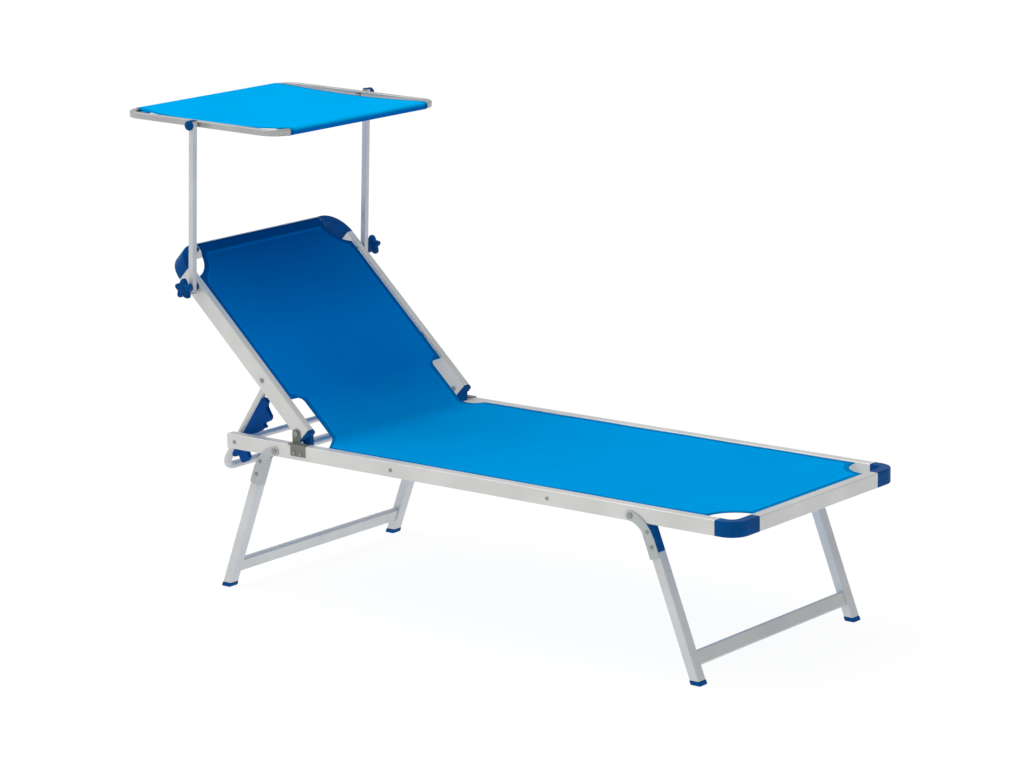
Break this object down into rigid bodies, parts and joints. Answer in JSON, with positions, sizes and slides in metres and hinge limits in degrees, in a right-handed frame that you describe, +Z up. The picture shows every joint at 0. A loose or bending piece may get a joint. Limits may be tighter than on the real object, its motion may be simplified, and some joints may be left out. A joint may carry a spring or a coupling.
{
  "type": "folding sun lounger",
  "caption": "Low folding sun lounger with a stretched fabric bed, a reclining backrest on a notched prop, folding leg frames and a tilting sunshade.",
  "frame": {"origin": "on the floor, below the middle of the whole object's box as it stands open", "axes": "+X towards the foot end, +Y towards the lying person's left side, +Z up"},
  "size_m": [1.817, 0.7178, 1.1331],
  "materials": {
    "frame_aluminium": "satin anodised tube",
    "leg_aluminium": "satin anodised tube",
    "blue_plastic": "moulded, slightly glossy",
    "rack_plastic": "moulded, slightly glossy",
    "bracket_steel": "zinc plated pressed steel",
    "rivet_steel": "zinc plated",
    "blue_fabric": "coated mesh cloth"
  },
  "bodies": {
    "bed": {"rail_right": "frame_aluminium", "rail_left": "frame_aluminium", "foot_bar": "frame_aluminium", "foot_corner_right": "blue_plastic", "foot_corner_left": "blue_plastic", "rail_plugs": "blue_plastic", "rack_bar": "frame_aluminium", "hinge_bar": "frame_aluminium", "spreaders": "frame_aluminium", "bed_rivets": "rivet_steel", "hinge_bracket_right": "bracket_steel", "hinge_bracket_left": "bracket_steel", "leg_pivot_rivets": "rivet_steel", "seat_fabric": "blue_fabric"},
    "hinge": {"hinge_pins": "rivet_steel"},
    "backrest": {"back_tube_right": "frame_aluminium", "back_tube_left": "frame_aluminium", "back_top_bar": "frame_aluminium", "back_corner_right": "blue_plastic", "back_corner_left": "blue_plastic", "back_plugs": "blue_plastic", "back_fabric": "blue_fabric", "prop_rivets": "rivet_steel", "arm_spacers": "blue_plastic", "star_bolts": "rivet_steel"},
    "prop": {"prop_arm_right": "frame_aluminium", "prop_arm_left": "frame_aluminium", "prop_cross": "frame_aluminium", "rack_right": "rack_plastic", "rack_left": "rack_plastic"},
    "foot_legs": {"foot_leg_right": "leg_aluminium", "foot_leg_left": "leg_aluminium", "foot_leg_head_right": "blue_plastic", "foot_leg_head_left": "blue_plastic", "foot_leg_bracket_right": "bracket_steel", "foot_leg_bracket_left": "bracket_steel", "foot_leg_rivets": "rivet_steel", "foot_leg_cross": "frame_aluminium", "foot_leg_caps": "blue_plastic"},
    "head_legs": {"head_leg_right": "leg_aluminium", "head_leg_left": "leg_aluminium", "head_leg_head_right": "blue_plastic", "head_leg_head_left": "blue_plastic", "head_leg_bracket_right": "bracket_steel", "head_leg_bracket_left": "bracket_steel", "head_leg_rivets": "rivet_steel", "head_leg_cross": "frame_aluminium", "head_leg_caps": "blue_plastic"},
    "arms": {"arm_right": "frame_aluminium", "arm_left": "frame_aluminium", "arm_plugs": "blue_plastic", "tilt_bolts": "rivet_steel"},
    "shade": {"shade_side_right": "frame_aluminium", "shade_side_left": "frame_aluminium", "shade_bars": "frame_aluminium", "shade_fabric": "blue_fabric"},
    "star_knob_right": {"star_knob_right": "blue_plastic"},
    "star_knob_left": {"star_knob_left": "blue_plastic"},
    "tilt_knob_right": {"tilt_knob_right": "blue_plastic"},
    "tilt_knob_left": {"tilt_knob_left": "blue_plastic"}
  },
  "joints": [
    {"name": "backrest_recline", "type": "hinge", "parent": "bed", "child": "hinge", "pos_m": [-0.376, 0, 0.406], "axis": [0, 1, 0], "range_deg": [-43.3, 0]},
    {"name": "backrest_raise", "type": "hinge", "parent": "hinge", "child": "backrest", "pos_m": [-0.376, 0, 0.406], "axis": [0, 1, 0], "range_deg": [0, 30]},
    {"name": "prop_swing", "type": "hinge", "parent": "backrest", "child": "prop", "pos_m": [-0.48178, 0, 0.52121], "axis": [0, 1, 0], "range_deg": [0, 90]},
    {"name": "foot_legs_fold", "type": "hinge", "parent": "bed", "child": "foot_legs", "pos_m": [0.615, 0, 0.36], "axis": [0, 1, 0], "range_deg": [0, 111]},
    {"name": "head_legs_fold", "type": "hinge", "parent": "bed", "child": "head_legs", "pos_m": [-0.431, 0, 0.36], "axis": [0, -1, 0], "range_deg": [0, 111]},
    {"name": "arms_tilt", "type": "hinge", "parent": "backrest", "child": "arms", "pos_m": [-0.6837, 0, 0.72688], "axis": [0, 1, 0], "range_deg": [-45, 60]},
    {"name": "shade_tilt", "type": "hinge", "parent": "arms", "child": "shade", "pos_m": [-0.66455, 0, 1.11841], "axis": [0, 1, 0], "range_deg": [-75, 75]},
    {"name": "star_knob_right_turn", "type": "hinge", "parent": "backrest", "child": "star_knob_right", "pos_m": [-0.6837, 0, 0.72688], "axis": [0, -1, 0], "continuous": true},
    {"name": "star_knob_left_turn", "type": "hinge", "parent": "backrest", "child": "star_knob_left", "pos_m": [-0.6837, 0, 0.72688], "axis": [0, 1, 0], "continuous": true},
    {"name": "tilt_knob_right_turn", "type": "hinge", "parent": "arms", "child": "tilt_knob_right", "pos_m": [-0.66455, 0, 1.11841], "axis": [0, -1, 0], "continuous": true},
    {"name": "tilt_knob_left_turn", "type": "hinge", "parent": "arms", "child": "tilt_knob_left", "pos_m": [-0.66455, 0, 1.11841], "axis": [0, 1, 0], "continuous": true}
  ],
  "couplings": [
    {"joint": "prop_swing", "follows": "backrest_recline", "ratio": -2}
  ]
}
